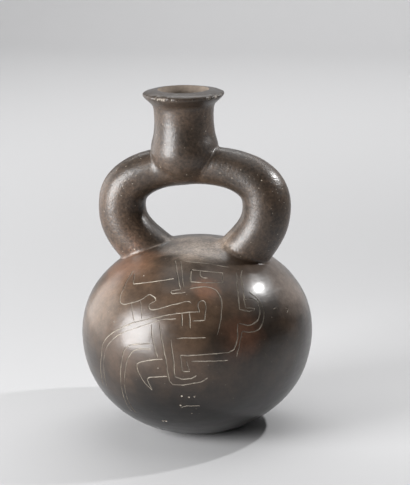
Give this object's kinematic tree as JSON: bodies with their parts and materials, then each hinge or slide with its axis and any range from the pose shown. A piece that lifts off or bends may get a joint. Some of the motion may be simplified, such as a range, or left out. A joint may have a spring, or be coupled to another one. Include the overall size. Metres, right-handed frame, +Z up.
{
  "type": "stirrup-spout vase",
  "caption": "Hollow globular vase of dark burnished earthenware with a stirrup-shaped tubular handle, a flaring spout and an incised linear design on the front of the globe.",
  "frame": {"origin": "centre of the flat foot, on the surface the vase stands on", "axes": "+Z up the axis of the globe, X across the plane of the stirrup, -Y towards the incised front"},
  "size_m": [0.15, 0.15, 0.2229],
  "materials": {
    "earthenware": "burnished, dark brown-grey with warm fire clouds"
  },
  "bodies": {
    "root": {"vase": "earthenware"}
  },
  "joints": []
}
